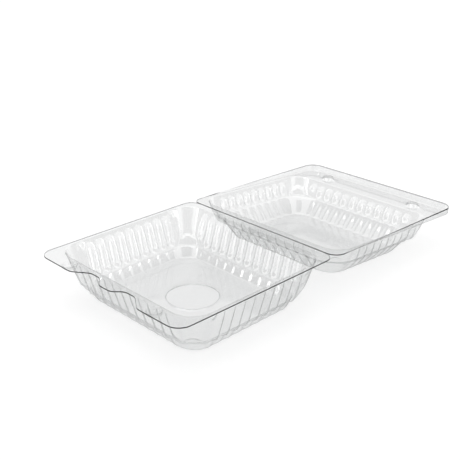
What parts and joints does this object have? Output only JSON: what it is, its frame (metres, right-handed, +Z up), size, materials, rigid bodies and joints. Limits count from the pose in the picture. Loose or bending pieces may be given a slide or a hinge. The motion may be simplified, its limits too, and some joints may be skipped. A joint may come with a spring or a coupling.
{
  "type": "hinged plastic food pack",
  "caption": "Clear hinged food pack lying open: a deep tray with a wavy latch edge and a shallower rimmed lid, with fluted sloping walls, press-in snaps and a crease hinge.",
  "frame": {"origin": "on the table, under the middle of the open pack's bounding box", "axes": "+X along the hinge crease, +Y from the tray to the lid, +Z up from the table"},
  "size_m": [0.2, 0.396, 0.048],
  "materials": {
    "clear_plastic": "gloss"
  },
  "bodies": {
    "base_tray": {"base_tray": "clear_plastic"},
    "lid": {"lid": "clear_plastic"}
  },
  "joints": [
    {"name": "lid_hinge", "type": "hinge", "parent": "base_tray", "child": "lid", "pos_m": [0, -0.00502, 0.04815], "axis": [1, 0, 0], "range_deg": [0, 183.93]}
  ]
}
